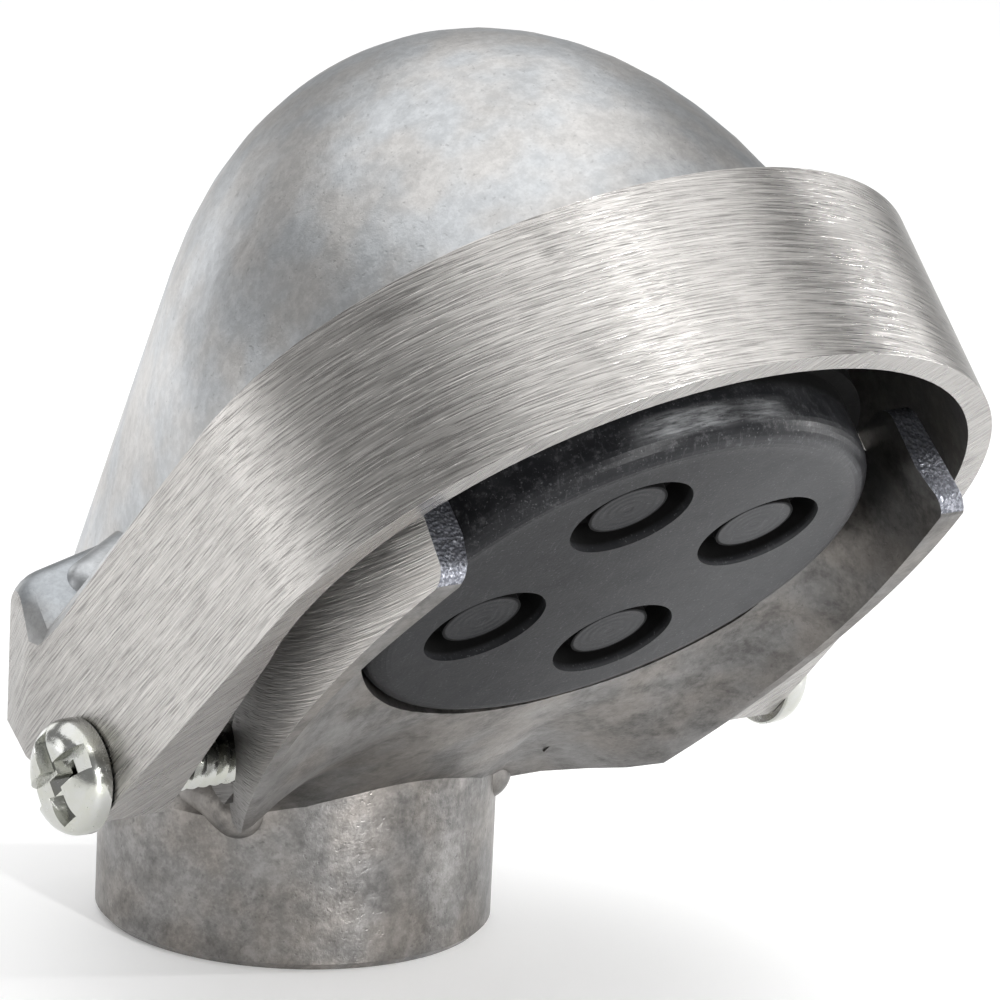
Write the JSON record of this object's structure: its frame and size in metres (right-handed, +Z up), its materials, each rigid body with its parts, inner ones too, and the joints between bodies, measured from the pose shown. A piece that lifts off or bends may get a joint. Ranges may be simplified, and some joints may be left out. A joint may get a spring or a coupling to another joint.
{
  "type": "service entrance weatherhead",
  "caption": "Cast metal weatherhead for an electrical service mast: a threaded collar, a slanted knockout insulator and a rounded hood that tilts up on its side screws.",
  "frame": {"origin": "centre of the collar's lower face, on the conduit axis", "axes": "+Z up the conduit axis, +X the way the hood reaches forward, +Y across, towards the left screw as the hood faces forward"},
  "size_m": [0.0835, 0.0706, 0.0776],
  "materials": {
    "casting": "satin",
    "insulator": "matte",
    "screw": "zinc plated"
  },
  "bodies": {
    "base": {"body": "casting", "insulator": "insulator", "screw_left": "screw", "screw_right": "screw"},
    "cover": {"hood": "casting"}
  },
  "joints": [
    {"name": "hood_pivot", "type": "hinge", "parent": "base", "child": "cover", "pos_m": [0.0182, 0, 0.021], "axis": [0, -1, 0], "range_deg": [0, 20]}
  ]
}
